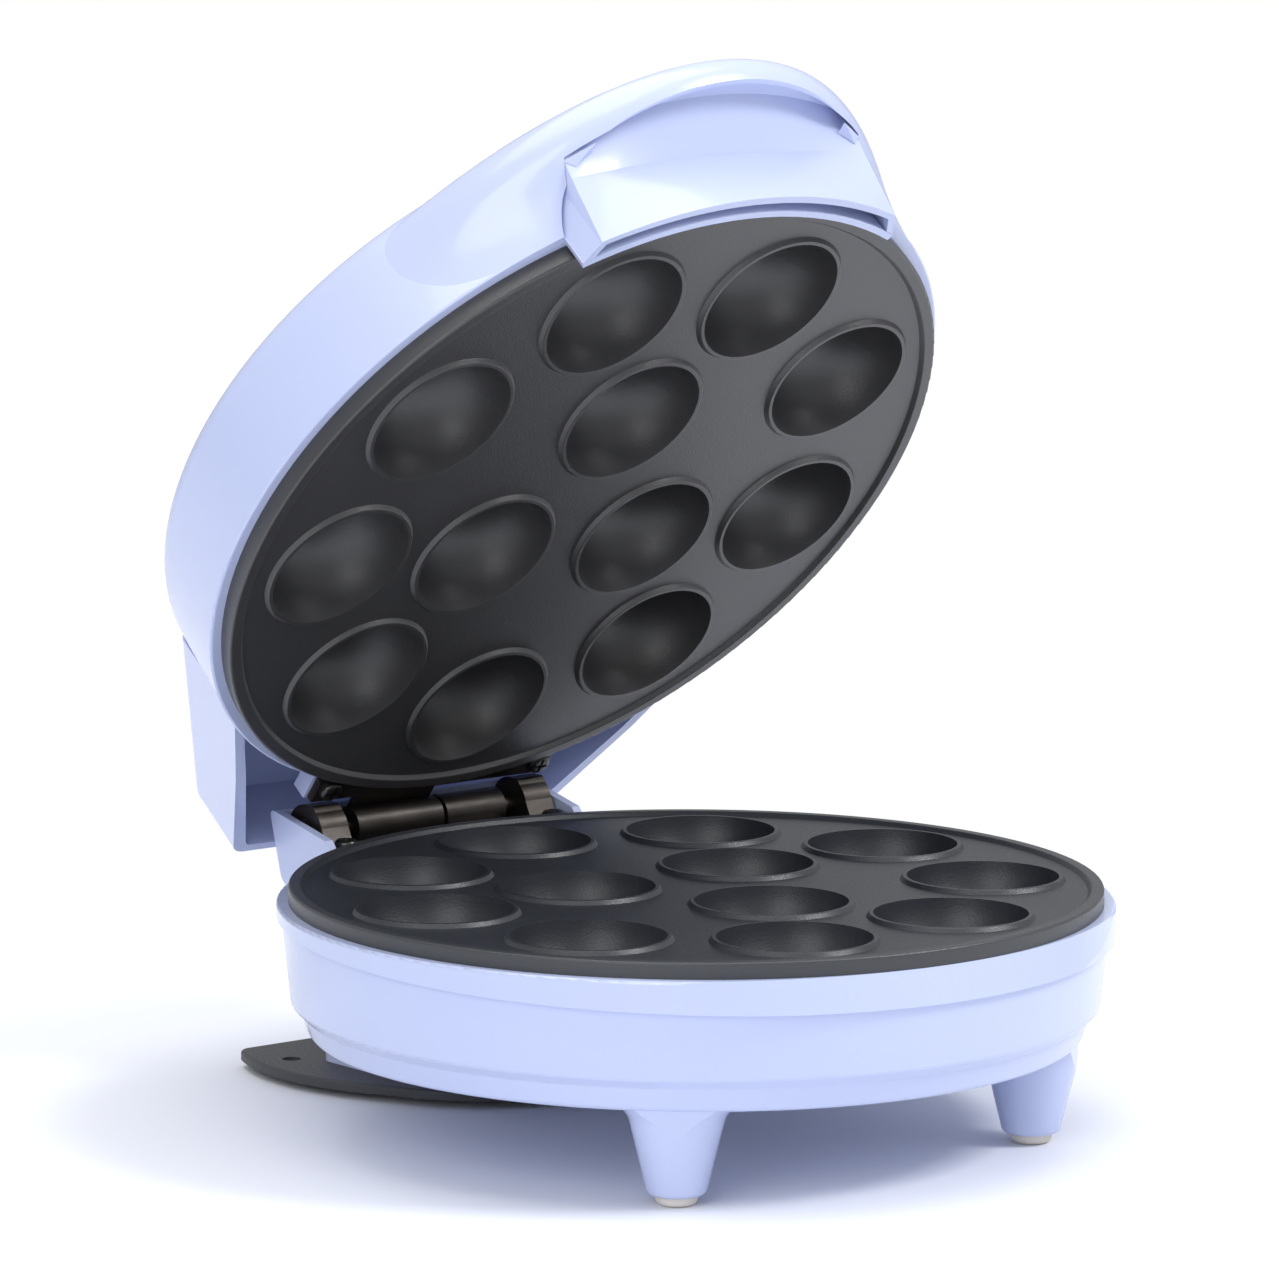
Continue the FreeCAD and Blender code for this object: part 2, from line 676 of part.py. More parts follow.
def terminal_block():
    """Screw terminal block on the floor of the base."""
    floor = base_floor_z + wall
    body = block(-14, 14, terminal_y, terminal_y + 12, floor, floor + 8)
    wells = [upright(2.2, floor + 4, floor + 9, x, terminal_y + 6) for x in (-9, 0, 9)]
    return body.cut(wells)


def supply_leads():
    """Two leads from the cord gland to the terminal block."""
    floor = base_floor_z + wall
    gland_z = gland_height - parting_height
    leads = []
    for side in (-1, 1):
        points = [Vec(side * 1.5, column_rear_y - wall - 2.5, gland_z),
                  Vec(side * 1.5, terminal_y + 30, gland_z),
                  Vec(side * 9.0, terminal_y + 22, floor + 3.0),
                  Vec(side * 9.0, terminal_y + 12, floor + 3.0)]
        leads.append(tube(points, lead_radius, 5.0))
    return Part.makeCompound(leads)


def element_leads():
    """Two leads from the terminal block to the pins of the lower heating element."""
    height = base_floor_z + wall + 3.0
    leads = []
    for side in (-1, 1):
        x, y = from_front(180.0 - side * element_gap_angle, element_ring_radius)
        points = [Vec(x, terminal_y, height), Vec(x, y, height), Vec(x, y, pan_top_z - 6)]
        leads.append(tube(points, lead_radius, 3.0))
    return Part.makeCompound(leads)


def hinge_strap(low, high):
    """Flat strap behind a plate, its front edge clear of the plate's rim."""
    strap = block(-strap_half_width, strap_half_width, strap_front_y, strap_rear_y, low, high)
    return strap.cut(upright(plate_radius + strap_plate_gap, low - 1, high + 1))


def bracket_bores(low, high):
    """Bores of a bracket: one for the pin and two for its screws."""
    radius = small_shank_radius + screw_clearance
    bores = [upright(radius, low, high, side * hinge_screw_x, hinge_screw_y) for side in (-1, 1)]
    bores.append(along_x(pin_radius + pin_clearance, -60, 60, hinge_y, 0))
    return bores


def base_hinge_bracket():
    """Steel strap with two lugs and one knuckle that carry the hinge pin."""
    rim = -plate_rim_depth
    strap = hinge_strap(rim, rim + strap_thickness)
    lug_outline = [(strap_rear_y - 2.2, rim), (strap_rear_y + 0.2, -0.6), (hinge_y - 6.4, 3.2),
                   (hinge_y - 3.3, lug_radius, 1.0), (hinge_y, lug_radius), (hinge_y, rim)]
    lugs = []
    for left in (-lug_outer_x, lug_inner_x):
        right = left + lug_outer_x - lug_inner_x
        lugs.append(side_prism(lug_outline, left, right))
        lugs.append(along_x(lug_radius, left, right, hinge_y, 0))
    knuckle_left = knuckle_split_x + knuckle_gap
    knuckle = along_x(knuckle_radius, knuckle_left, knuckle_half_length, hinge_y, 0)
    web = block(knuckle_left + 1.5, knuckle_half_length - 1.5, strap_rear_y - 1, hinge_y,
                rim, rim + strap_thickness)
    solid = strap.fuse(lugs + [knuckle, web])
    return solid.cut(bracket_bores(rim - 1, rim + 6)).removeSplitter()


def lid_hinge_bracket():
    """Steel strap on the lid with the knuckle that turns on the hinge pin."""
    rim = lid_rim_height
    strap = hinge_strap(rim - strap_thickness, rim)
    knuckle_right = knuckle_split_x - knuckle_gap
    knuckle = along_x(knuckle_radius, -knuckle_half_length, knuckle_right, hinge_y, 0)
    web = block(-knuckle_half_length + 1.5, knuckle_right - 1.5, strap_rear_y - 1, hinge_y,
                rim - strap_thickness, rim)
    solid = strap.fuse([knuckle, web])
    return solid.cut(bracket_bores(rim - 6, rim + 1)).removeSplitter()


def hinge_pin():
    """Headed pin through both brackets."""
    pin = along_x(pin_radius, -lug_outer_x - 0.1, lug_outer_x + 0.1, hinge_y, 0)
    heads = [along_x(pin_radius + 1.1, lug_outer_x, lug_outer_x + 1.0, hinge_y, 0),
             along_x(pin_radius + 1.1, -lug_outer_x - 1.0, -lug_outer_x, hinge_y, 0)]
    return pin.fuse(heads).removeSplitter()


def domed_screw(x, y, seat, length):
    """Small screw with a domed, cross-slotted head, its head above its seat."""
    head = upright(small_head_radius + 0.3, seat, seat + 1.9, x, y)
    top = [edge for edge in head.Edges if edge.BoundBox.ZMin > seat + 1.8]
    head = head.makeFillet(1.2, top)
    slots = [block(x - 2.2, x + 2.2, y - 0.4, y + 0.4, seat + 1.1, seat + 3),
             block(x - 0.4, x + 0.4, y - 2.2, y + 2.2, seat + 1.1, seat + 3)]
    shank = upright(small_shank_radius, seat - length, seat, x, y)
    return head.cut(slots).fuse(shank).removeSplitter()


def base_hinge_screws():
    """Screws that hold the base bracket."""
    seat = -plate_rim_depth + strap_thickness
    screws = [domed_screw(side * hinge_screw_x, hinge_screw_y, seat, 8) for side in (-1, 1)]
    return Part.makeCompound(screws)


def lid_hinge_screws():
    """Screws that hold the lid bracket, heads towards the base."""
    seat = -lid_rim_height + strap_thickness
    screws = [domed_screw(side * hinge_screw_x, hinge_screw_y, seat, 6) for side in (-1, 1)]
    return flipped(Part.makeCompound(screws))


# ---------------------------------------------------------------- lid
def dome_outside():
    """Round body of the lid."""
    return spin([(0, lid_rim_height), (lid_rim_radius, lid_rim_height, 0.6),
                 (lid_top_radius, lid_shoulder_height, lid_shoulder_round),
                 (lid_top_radius - 14, lid_shoulder_height + 1.3, 30.0), (0, lid_crown_height)])


def dome_inside():
    """Hollow of the lid above the ledge that carries the plate."""
    low = lid_rim_height + ledge_thickness
    return spin([(0, low), (lid_rim_radius - wall - 0.3, low),
                 (lid_top_radius - wall, lid_shoulder_height - wall, lid_shoulder_round - wall),
                 (lid_top_radius - 14, lid_shoulder_height - wall + 1.1), (0, lid_crown_height - wall)])


def hood_outline(inset):
    """Plan outline of the hinge hood, moved in by inset."""
    run = hood_rear_y - hood_front_y
    narrowing = hood_front_half_width - hood_rear_half_width
    side_inset = inset * math.hypot(run, narrowing) / run
    front = hood_front_half_width - side_inset
    rear = hood_rear_half_width - side_inset
    corner = hood_corner - inset * 0.8
    return [(-front, hood_front_y), (front, hood_front_y), (rear, hood_rear_y - inset, corner),
            (-rear, hood_rear_y - inset, corner)]


def hood_outside():
    """Hood over the hinge: a tapered box that grows out of the rear of the dome."""
    body = plan_prism(hood_outline(0), 0, 60)
    profile = [(60.0, hood_low_height), (hood_front_y + 24, hood_low_height),
               (hood_rear_y + 5, hood_rear_low_height), (hood_rear_y + 5, hood_top_rear_height),
               (hood_front_y, hood_top_front_height),
               (60.0, hood_top_front_height)]
    body = body.common(side_prism(profile, -far, far))
    edges = []
    for edge in body.Edges:
        box = edge.BoundBox
        on_side = box.YMax - box.YMin > 20 or box.YMin > hood_rear_y - hood_corner - 2
        if box.ZMin > hood_top_rear_height - 1 and box.YMax > hood_front_y + 5 and on_side:
            edges.append(edge)
    return body.makeFillet(hood_edge_round, edges)


def hood_inside():
    """Hollow of the hood, open below, over the hinge."""
    body = plan_prism(hood_outline(wall), -20, 60)
    rear_top = hood_top_rear_height - wall - 0.6
    front_top = hood_top_front_height - wall - 0.6
    profile = [(60.0, -10.0), (hood_rear_y + 5, -10.0), (hood_rear_y + 5, rear_top),
               (hood_front_y, front_top), (60.0, front_top)]
    return body.common(side_prism(profile, -far, far))


def visor_share(angle):
    """How much of the front section there is at an angle: one at the front, none at the root."""
    return 0.5 + 0.5 * math.cos(math.pi * angle / visor_root_angle)


def visor_section(angle, inset):
    """The visor's (radius, height) points at an angle from the front, moved in by inset."""
    share = visor_share(angle)
    points = []
    for near, front in zip(visor_dome_section, visor_front_section):
        radius = lid_rim_radius + near[0] + share * (front[0] - near[0])
        points.append(Vec(radius, near[1] + share * (front[1] - near[1]), 0))
    moved = []
    for i in range(len(points)):
        run = points[min(i + 1, len(points) - 1)] - points[max(i - 1, 0)]
        run.normalize()
        moved.append((points[i].x - inset * run.y, points[i].y + inset * run.x))
    return moved


def visor_body(inset):
    """Visor as a solid, lofted through its sections from one root to the other."""
    wires = []
    steps = 14
    for i in range(steps + 1):
        angle = visor_root_angle * (2.0 * i / steps - 1.0)
        corners = []
        for radius, height in visor_section(angle, inset):
            x, y = from_front(angle, radius)
            corners.append(Vec(x, y, height))
        inner_x, inner_y = from_front(angle, lid_rim_radius + visor_dome_section[-1][0])
        foot = Vec(inner_x, inner_y, corners[0].z)
        skin = Part.BSplineCurve()
        skin.interpolate(corners)
        edges = [skin.toShape(), Part.LineSegment(corners[-1], foot).toShape(),
                 Part.LineSegment(foot, corners[0]).toShape()]
        wires.append(Part.Wire(edges))
    return Part.makeLoft(wires, True, False)


def skirt_plan(height_share, x):
    """How far forward the insert reaches at x: 0 at its foot, 1 at the shelf, 2 at the top."""
    share = (x / skirt_half_width) ** 2
    if height_share == 0:
        return -math.sqrt(skirt_low_radius ** 2 - x ** 2)
    if height_share == 1:
        return skirt_shelf_front_y + skirt_shelf_sag * share
    return slope_top_front_y + slope_top_sag * share


def insert_body(inset, low):
    """Handle insert as a solid: skirt, shelf edge and finger slope, lofted from end to end."""
    wires = []
    steps = 6
    half = skirt_end_inner_x + 2
    for i in range(steps + 1):
        x = half * (2.0 * i / steps - 1.0)
        top = groove_height - inset * 1.6
        slope = (skirt_plan(2, x) - skirt_plan(1, x)) / (groove_height - skirt_shelf_height)
        top_y = skirt_plan(1, x) + slope * (top - skirt_shelf_height) + inset * 1.35
        corners = [Vec(x, skirt_plan(0, x) + inset, low),
                   Vec(x, skirt_plan(1, x) + inset, skirt_shelf_height),
                   Vec(x, top_y, top), Vec(x, skirt_rear_y, top), Vec(x, skirt_rear_y, low)]
        wires.append(Part.makePolygon(corners + corners[:1]))
    body = Part.makeLoft(wires, True, False)
    outer = skirt_half_width - inset
    inner = skirt_end_inner_x - inset
    slope_end = skirt_end_slope_y + 8.6
    plan = [(-outer, -far), (outer, -far), (outer, skirt_end_slope_y), (inner, slope_end),
            (inner, skirt_rear_y + 5), (-inner, skirt_rear_y + 5), (-inner, slope_end),
            (-outer, skirt_end_slope_y)]
    return body.common(plan_prism(plan, low - 1, 60))


def groove_roof(gap, low, high):
    """Slab that fills the visor's inside at groove height, a gap away from its skin."""
    rim = []
    steps = 10
    half_angle = 33.0
    for i in range(steps + 1):
        angle = half_angle * (2.0 * i / steps - 1.0)
        share = visor_share(angle)
        reach = visor_dome_section[3][0] + share * (visor_front_section[3][0] - visor_dome_section[3][0])
        x, y = from_front(angle, lid_rim_radius + reach - lip_wall - gap)
        rim.append(Vec(x, y, low))
    skin = Part.BSplineCurve()
    skin.interpolate(rim)
    back = [Vec(rim[-1].x, skirt_rear_y, low), Vec(rim[0].x, skirt_rear_y, low)]
    edges = [skin.toShape(), Part.LineSegment(rim[-1], back[0]).toShape(),
             Part.LineSegment(back[0], back[1]).toShape(), Part.LineSegment(back[1], rim[0]).toShape()]
    return Part.Face(Part.Wire(edges)).extrude(Vec(0, 0, high - low))


def handle_insert():
    """Insert under the visor: skirt, finger slope and the roof of the finger groove."""
    outer = insert_body(0, skirt_low_height)
    roof = groove_roof(0.15, groove_height - 0.01, groove_height + roof_thickness)
    width = block(-skirt_half_width, skirt_half_width, -far, skirt_rear_y - 7, 0, 60)
    outer = outer.fuse(roof.common(width))
    dome = upright(lid_rim_radius + 0.05, -20, 60)
    return outer.cut([dome, insert_body(skirt_wall, skirt_low_height - 1)]).removeSplitter()


def finger_hollow():
    """Arched opening under the visor, and the space above it that takes the insert's roof."""
    low = -30.0
    left = [Vec(-x, -far, z) for x, z in arch_side]
    right = [Vec(x, -far, z) for x, z in reversed(arch_side)]
    curve = Part.BSplineCurve()
    curve.interpolate(left + [Vec(0, -far, arch_height)] + right)
    feet = [Vec(right[-1].x, -far, low), Vec(left[0].x, -far, low)]
    edges = [curve.toShape(), Part.LineSegment(right[-1], feet[0]).toShape(),
             Part.LineSegment(feet[0], feet[1]).toShape(), Part.LineSegment(feet[1], left[0]).toShape()]
    arch = Part.Face(Part.Wire(edges)).extrude(Vec(0, far + skirt_rear_y - 5, 0))
    room = insert_body(-0.15, low)
    groove = groove_roof(0.0, arch_height - 3, groove_height + roof_thickness + 0.15)
    groove = groove.common(block(-skirt_half_width - 0.15, skirt_half_width + 0.15, -far,
                                 skirt_rear_y - 7, 0, 60))
    return joined([arch, groove, room]).cut(upright(lid_rim_radius, -31, 60))


def skirt_inner_wall():
    """Wall behind the skirt, which reaches down past the parting plane."""
    half_angle = 28.0
    ring = upright(lid_rim_radius, skirt_low_height, lid_rim_height + 1).cut(
        upright(skirt_inner_radius, skirt_low_height - 1, lid_rim_height + 2))
    edge_x, edge_y = from_front(half_angle, 200)
    wedge = plan_prism([(0, 0), (edge_x, edge_y), (-edge_x, edge_y)], -20, 20)
    return ring.common(wedge)


def lid_housing():
    """Outer moulding of the lid: dome, hood over the hinge and visor over the handle."""
    ledge_hole = upright(ledge_radius, lid_rim_height - 1, lid_rim_height + ledge_thickness + 1)
    shell = dome_outside().cut([dome_inside(), ledge_hole])
    keep_clear = upright(lid_rim_radius - wall, 0, 60)
    hood = hood_outside().cut([hood_inside(), keep_clear.common(dome_outside())])
    inside = upright(lid_rim_radius - wall, -10, 27)
    visor = visor_body(0).cut([visor_body(wall), finger_hollow(), inside, dome_inside()])
    platform = block(-strap_half_width - 1, strap_half_width + 1, plate_radius - 10, strap_rear_y + 0.4,
                     lid_rim_height, lid_rim_height + 5)
    platform = platform.cut(upright(ledge_radius, 0, 20))
    posts, bores = pan_posts_up()
    solid = shell.fuse([hood, visor, skirt_inner_wall(), platform] + posts)
    for side in (-1, 1):
        hole_top = lid_rim_height + 4.5
        bores.append(upright(small_shank_radius, 0, hole_top, side * hinge_screw_x, hinge_screw_y))
        bores.append(upright(lamp_radius + lamp_clearance, 20, 60, side * lamp_x, lamp_y))
    moulding = solid.cut(bores).removeSplitter()
    # The finger groove leaves two specks at the ends of the arch, which are dropped.
    return max(moulding.Solids, key=lambda piece: piece.Volume)


def pan_posts_up():
    """Posts from the crown of the lid down to its reflector pan."""
    posts = []
    bores = []
    for x, y in pan_screw_places():
        posts.append(upright(pan_post_radius, pan_depth + pan_sheet, lid_shoulder_height + 0.5, x, y))
        bores.append(upright(small_shank_radius, pan_depth, pan_depth + 8, x, y))
    return posts, bores


def upper_plate_clips():
    """Spring clips that hold the upper plate's locating ring to the ledge of the lid."""
    ring_inner = ledge_radius - ring_clearance - ring_width
    ring_end = lid_rim_height + ring_depth
    hook_radius = ledge_radius + 2.5
    clips = []
    for angle in (60.0, 120.0, -60.0, -120.0):
        strip = block(-5, 5, -ring_inner - 1, 0.8 - ring_inner, lid_rim_height + 0.1, ring_end + 0.8)
        strip = strip.common(upright(ring_inner, lid_rim_height, ring_end + 0.8))
        bridge = block(-5, 5, -hook_radius, 0.8 - ring_inner, ring_end, ring_end + 0.8)
        ledge_top = lid_rim_height + ledge_thickness
        hook = block(-5, 5, -hook_radius, -ledge_radius - 0.4, ledge_top, ring_end + 0.8)
        clips.append(turned(joined([strip, bridge, hook]), angle))
    return Part.makeCompound(clips)


def lamp_lens(side):
    """Round lens in the crown of the lid, with a small flange inside."""
    crown = crown_height_at(math.hypot(lamp_x, lamp_y))
    barrel = upright(lamp_radius, crown - wall - 1.0, crown + 1.4, side * lamp_x, lamp_y)
    top = [edge for edge in barrel.Edges if edge.BoundBox.ZMin > crown + 1.3]
    barrel = barrel.makeFillet(1.0, top)
    flange = upright(lamp_radius + 1.2, crown - wall - 2.6, crown - wall - 1.0, side * lamp_x, lamp_y)
    return barrel.fuse(flange).removeSplitter()


def crown_height_at(radius):
    """Height of the top of the lid at one radius, on the shallow cone of its crown."""
    rim = lid_top_radius - 14
    rise = lid_crown_height - (lid_shoulder_height + 1.3)
    return lid_crown_height - rise * radius / rim


def lamp_board():
    """Small board under the lenses with two lamp bodies."""
    crown = crown_height_at(math.hypot(lamp_x, lamp_y))
    top = crown - wall - 2.6
    low = lamp_board_low
    board = block(-lamp_x - 7, lamp_x + 7, lamp_y - 7, lamp_y + 7, low, low + 1.4)
    lamps = [upright(2.2, low + 1.2, top, side * lamp_x, lamp_y) for side in (-1, 1)]
    return board.fuse(lamps).removeSplitter()


def lid_leads():
    """Leads from the lamp board to the pins of the upper heating element."""
    height = pan_depth + 9.6
    board_top = lamp_board_low + 1.4
    leads = []
    for side in (-1, 1):
        x, y = from_front(180.0 - side * element_gap_angle, element_ring_radius)
        start_x = side * (lamp_x + 4)
        points = [Vec(start_x, lamp_y + 3.5, board_top), Vec(start_x, lamp_y + 3.5, height),
                  Vec(side * 18.0, -20.0, height), Vec(side * 18.0, 20.0, height),
                  Vec(x, y, height), Vec(x, y, pan_depth + 6)]
        leads.append(tube(points, lead_radius, 2.2))
    return Part.makeCompound(leads)


# ---------------------------------------------------------------- writing the nodes
def rest_rear_reach():
    """How far back the hood reaches when the lid stands at its rest angle."""
    turn = math.radians(lid_rest_angle)
    return hinge_y + (hood_rear_y - hinge_y) * math.cos(turn) + hood_top_rear_height * math.sin(turn)


def write(name, shape, on_lid):
    """Pose a lid piece, stand the machine on z = 0 and write one file."""
    placed = shape.copy()
    if on_lid:
        placed.rotate(Vec(0, hinge_y, 0), Vec(-1, 0, 0), lid_rest_angle)
    middle_y = (rest_rear_reach() - 1.5 - rim_radius) / 2
    placed.translate(Vec(0, -middle_y, parting_height))
    placed.exportStep(os.path.join("parts", name + ".step"))


os.makedirs("parts", exist_ok=True)

base_pieces = {
    "base_housing": base_housing(),
    "front_feet": front_feet(),
    "rear_feet": rear_feet(),
    "cord_wrap_plate": cord_wrap_plate(),
    "wrap_plate_screws": wrap_plate_screws(),
    "cord_gland": cord_gland(),
    "lower_cooking_plate": lower_cooking_plate(),
    "lower_plate_screws": lower_plate_screws(),
    "lower_heating_element": heating_element(),
    "lower_heat_reflector": heat_reflector(),
    "lower_reflector_screws": pan_screws(),
    "thermostat": thermostat(),
    "thermal_fuse": thermal_fuse(),
    "terminal_block": terminal_block(),
    "supply_leads": supply_leads(),
    "element_leads": element_leads(),
    "base_hinge_bracket": base_hinge_bracket(),
    "base_hinge_screws": base_hinge_screws(),
    "hinge_pin": hinge_pin(),
}
lid_pieces = {
    "lid_housing": lid_housing(),
    "handle_insert": handle_insert(),
    "upper_cooking_plate": upper_cooking_plate(),
    "upper_plate_clips": upper_plate_clips(),
    "upper_heating_element": flipped(heating_element()),
    "upper_heat_reflector": flipped(heat_reflector()),
    "upper_reflector_screws": flipped(pan_screws()),
    "lid_hinge_bracket": lid_hinge_bracket(),
    "lid_hinge_screws": lid_hinge_screws(),
    "power_lamp_lens": lamp_lens(-1),
    "ready_lamp_lens": lamp_lens(1),
    "lamp_board": lamp_board(),
    "lid_leads": lid_leads(),
}
for piece_name, piece in base_pieces.items():
    write(piece_name, piece, False)
for piece_name, piece in lid_pieces.items():
    write(piece_name, piece, True)
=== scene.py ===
# %% [markdown]
# # A ball donut maker in a plain studio
# The machine is a round tabletop appliance: a base and a hinged lid in glossy
# lavender plastic, each holding a cast plate with twelve half-ball pockets in a dark
# non-stick coating. The frame brings in every solid piece at its true size and place.
# This lesson sets up the camera and the light, and gives each piece the finish of the
# real thing. The pieces keep their solid shapes: every finish is made from nodes.

# %% Load the frame
import json
import math
import bpy
from mathutils import Matrix, Vector

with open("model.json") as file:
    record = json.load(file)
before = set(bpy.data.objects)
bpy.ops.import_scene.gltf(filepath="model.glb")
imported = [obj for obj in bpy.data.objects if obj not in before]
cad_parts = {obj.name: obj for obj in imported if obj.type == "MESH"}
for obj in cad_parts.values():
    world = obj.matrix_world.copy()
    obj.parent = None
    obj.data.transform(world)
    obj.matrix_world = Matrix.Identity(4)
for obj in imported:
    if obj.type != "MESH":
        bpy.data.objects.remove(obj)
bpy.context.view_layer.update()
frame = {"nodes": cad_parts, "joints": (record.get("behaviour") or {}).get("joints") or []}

# %% [markdown]
# Everything round in the machine is set out from two places: the middle of the lower
# plate's parting plane, and the hinge axis. The hinge gives both. Its height is the
# parting plane's, and the plate's middle lies a known distance in front of it.

# %% Places that the other cells use
hinge = next(j for j in frame["joints"] if j["name"] == "lid_hinge")
hinge_at = Vector(hinge["pos_m"])
PLATE_TO_HINGE = 0.1133         # plate middle to hinge axis, along Y
LID_OPEN = math.radians(52.34)  # the lid at rest, opened from closed
PLATE_RADIUS = 0.102
BEAD_WIDTH = 0.0032             # raised edge of a plate, round its cooking face
plate_middle = Vector((0, hinge_at.y - PLATE_TO_HINGE, hinge_at.z))
lid_place = (Matrix.Translation(hinge_at) @ Matrix.Rotation(-LID_OPEN, 4, "X")
             @ Matrix.Translation((0, PLATE_TO_HINGE, 0)))
print("plate middle", [round(v, 4) for v in plate_middle])
print("hinge axis through", [round(v, 4) for v in hinge_at])

# %% [markdown]
# The camera stands to the left of the handle side, a little above the table. A long
# lens from two metres away keeps the round plates' outlines close to true ellipses.

# %% Camera
CAMERA_TURN = math.radians(-38.802)
CAMERA_RISE = math.radians(9.285)
CAMERA_ROLL = math.radians(0.247)
CAMERA_FAR = 2.1784
LENS_LENGTH = 247.62            # in millimetres, on a sensor 36 mm wide
LOOK_AT = (-0.01851, 0, 0.06322)  # from the plate's middle
target = plate_middle + Vector(LOOK_AT)
back = Vector((math.sin(CAMERA_TURN) * math.cos(CAMERA_RISE),
               -math.cos(CAMERA_TURN) * math.cos(CAMERA_RISE), math.sin(CAMERA_RISE)))
level_right = Vector((math.cos(CAMERA_TURN), math.sin(CAMERA_TURN), 0))
level_up = back.cross(level_right)
right = math.cos(CAMERA_ROLL) * level_right + math.sin(CAMERA_ROLL) * level_up
up = back.cross(right)

lens = bpy.data.cameras.new("camera")
lens.sensor_width = 36.0
lens.lens = LENS_LENGTH
lens.clip_end = 50.0
camera = bpy.data.objects.new("camera", lens)
camera.matrix_world = Matrix((
    (right.x, up.x, back.x, 0), (right.y, up.y, back.y, 0), (right.z, up.z, back.z, 0),
    (0, 0, 0, 1)))
camera.location = target + CAMERA_FAR * back
bpy.context.scene.collection.objects.link(camera)
bpy.context.scene.camera = camera
print("camera at", [round(v, 3) for v in camera.location])

# %% [markdown]
# A white studio: a pale floor, a bright surround and three large soft lights. The
# surround is brighter overhead than at the floor, so that the plates, which look
# downwards, keep their depth. The floor turns to plain white a little way out from the
# machine. Only the camera sees that white: it throws no light on the machine. Colours
# are shown as they are, with no film curve.

# %% Floor, surround and lights
bpy.context.scene.view_settings.view_transform = "Standard"

FLOOR_HALF = 12.0
SHADOW_REACH = 0.16             # distances from the machine's middle, on the floor:
WHITE_FROM = 0.42               # shadows show up to the first, plain white from the second
HORIZON = 0.46                  # heights on the surround, 0 straight down and 1 overhead
BRIGHT_FROM = 0.72
CAST_STRENGTH = 0.62            # of the surround's light on the machine


def camera_only(nodes, join, fade, hidden, shown, output):
    """Show one shader to the camera by a share, and the other to every other ray."""
    ray = nodes.new("ShaderNodeLightPath")
    mix = nodes.new("ShaderNodeMixShader")
    share = ray.outputs["Is Camera Ray"]
    if fade is not None:
        product = nodes.new("ShaderNodeMath")
        product.operation = "MULTIPLY"
        join(fade, product.inputs[0])
        join(share, product.inputs[1])
        share = product.outputs[0]
    join(share, mix.inputs["Fac"])
    join(hidden, mix.inputs[1])
    join(shown, mix.inputs[2])
    join(mix.outputs[0], output)


floor_mesh = bpy.data.meshes.new("floor")
floor_mesh.from_pydata([(-FLOOR_HALF, -FLOOR_HALF, 0), (FLOOR_HALF, -FLOOR_HALF, 0),
                        (FLOOR_HALF, FLOOR_HALF, 0), (-FLOOR_HALF, FLOOR_HALF, 0)],
                       [], [(0, 1, 2, 3)])
floor = bpy.data.objects.new("floor", floor_mesh)
bpy.context.scene.collection.objects.link(floor)

floor_paint = bpy.data.materials.new("pale_floor")
floor_paint.use_nodes = True
floor_nodes = floor_paint.node_tree.nodes
floor_join = floor_paint.node_tree.links.new
floor_shader = floor_nodes["Principled BSDF"]
floor_shader.inputs["Base Color"].default_value = (0.84, 0.86, 0.92, 1)
floor_shader.inputs["Roughness"].default_value = 0.6
floor_shader.inputs["Specular IOR Level"].default_value = 0.2
floor_place = floor_nodes.new("ShaderNodeTexCoord")
floor_far = floor_nodes.new("ShaderNodeVectorMath")
floor_far.operation = "LENGTH"
floor_fade = floor_nodes.new("ShaderNodeMapRange")
floor_fade.interpolation_type = "SMOOTHSTEP"
floor_fade.inputs["From Min"].default_value = SHADOW_REACH
floor_fade.inputs["From Max"].default_value = WHITE_FROM
floor_white = floor_nodes.new("ShaderNodeEmission")
floor_join(floor_place.outputs["Object"], floor_far.inputs[0])
floor_join(floor_far.outputs["Value"], floor_fade.inputs["Value"])
camera_only(floor_nodes, floor_join, floor_fade.outputs["Result"], floor_shader.outputs[0],
            floor_white.outputs[0], floor_nodes["Material Output"].inputs["Surface"])
floor_mesh.materials.append(floor_paint)

world = bpy.data.worlds.new("studio")
bpy.context.scene.world = world
world.use_nodes = True
sky = world.node_tree.nodes
sky.clear()
sky_join = world.node_tree.links.new
sky_out = sky.new("ShaderNodeOutputWorld")
seen = sky.new("ShaderNodeBackground")
cast = sky.new("ShaderNodeBackground")
cast.inputs["Strength"].default_value = CAST_STRENGTH
place = sky.new("ShaderNodeTexCoord")
split = sky.new("ShaderNodeSeparateXYZ")
fade = sky.new("ShaderNodeValToRGB")
fade.color_ramp.elements[0].position = HORIZON
fade.color_ramp.elements[0].color = (0.52, 0.54, 0.58, 1)
fade.color_ramp.elements[1].position = BRIGHT_FROM
fade.color_ramp.elements[1].color = (1, 1, 1, 1)
half = sky.new("ShaderNodeMath")
half.operation = "MULTIPLY_ADD"
half.inputs[1].default_value = 0.5
half.inputs[2].default_value = 0.5
sky_join(place.outputs["Generated"], split.inputs[0])
sky_join(split.outputs["Z"], half.inputs[0])
sky_join(half.outputs[0], fade.inputs["Fac"])
sky_join(fade.outputs["Color"], cast.inputs["Color"])
camera_only(sky, sky_join, None, cast.outputs[0], seen.outputs[0], sky_out.inputs["Surface"])


def soft_light(name, direction, far, size, power):
    """Square lamp at a distance along a direction from the machine, facing it."""
    lamp = bpy.data.lights.new(name, "AREA")
    lamp.shape = "SQUARE"
    lamp.size = size
    lamp.energy = power
    stand = bpy.data.objects.new(name, lamp)
    towards = Vector(direction).normalized()
    stand.location = target + far * towards
    stand.rotation_euler = (-towards).to_track_quat("-Z", "Y").to_euler()
    bpy.context.scene.collection.objects.link(stand)


